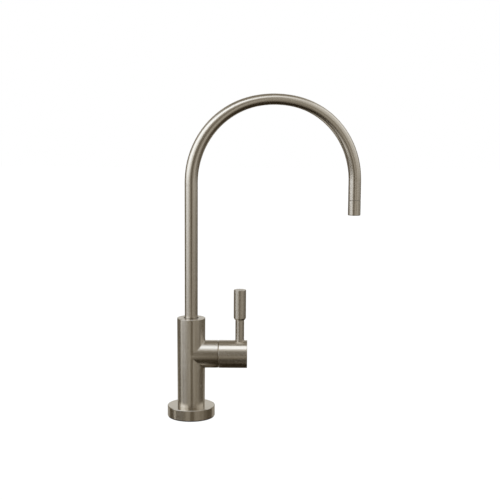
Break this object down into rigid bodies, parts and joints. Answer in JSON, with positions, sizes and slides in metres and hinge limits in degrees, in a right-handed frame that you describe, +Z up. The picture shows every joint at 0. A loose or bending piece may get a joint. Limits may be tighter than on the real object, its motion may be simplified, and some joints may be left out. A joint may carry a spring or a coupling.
{
  "type": "bar faucet",
  "caption": "Single-lever bar faucet with a tall swivelling gooseneck spout, a side lever on a cylindrical column, a round base flange and a threaded shank for a deck hole.",
  "frame": {"origin": "on the column's axis, in the plane of the deck, which is the underside of the base gasket", "axes": "+Z up along the column; +X along the side branch that carries the lever; the user stands at -Y; at rest the spout is swivelled 17 degrees from +X towards +Y"},
  "size_m": [0.1922, 0.0794, 0.3743],
  "materials": {
    "brushed_nickel": "satin",
    "brass": "satin",
    "steel": "satin",
    "black_rubber": "matte",
    "dark_nylon": "matte",
    "white_nylon": "matte",
    "white_ceramic": "satin"
  },
  "bodies": {
    "column": {"base_flange": "brushed_nickel", "deck_gasket": "black_rubber", "faucet_body": "brushed_nickel", "mounting_shank": "brass", "rubber_washer": "black_rubber", "steel_washer": "steel", "lock_washer": "steel", "lock_nut": "steel", "cartridge_housing": "brass", "cartridge_o_ring": "black_rubber", "seat_seal": "black_rubber", "fixed_disc": "white_ceramic", "swivel_bushing": "dark_nylon", "thrust_washer": "white_nylon", "spout_set_screw": "steel"},
    "handle": {"handle_hub": "brushed_nickel", "lever_rod": "brushed_nickel", "lever_grip": "brushed_nickel", "handle_set_screw": "steel", "valve_stem": "brass", "moving_disc": "white_ceramic", "stem_o_rings": "black_rubber", "stem_clip": "steel"},
    "spout": {"spout_tube": "brushed_nickel", "spout_fitting": "brass", "spout_o_rings": "black_rubber", "outlet_nozzle": "brushed_nickel", "nozzle_gasket": "black_rubber", "flow_straightener": "white_nylon"}
  },
  "joints": [
    {"name": "lever_turn", "type": "hinge", "parent": "column", "child": "handle", "pos_m": [0, 0, 0.0622], "axis": [1, 0, 0], "range_deg": [0, 90]},
    {"name": "spout_swivel", "type": "hinge", "parent": "column", "child": "spout", "pos_m": [0, 0, 0.0922], "axis": [0, 0, 1], "continuous": true}
  ]
}
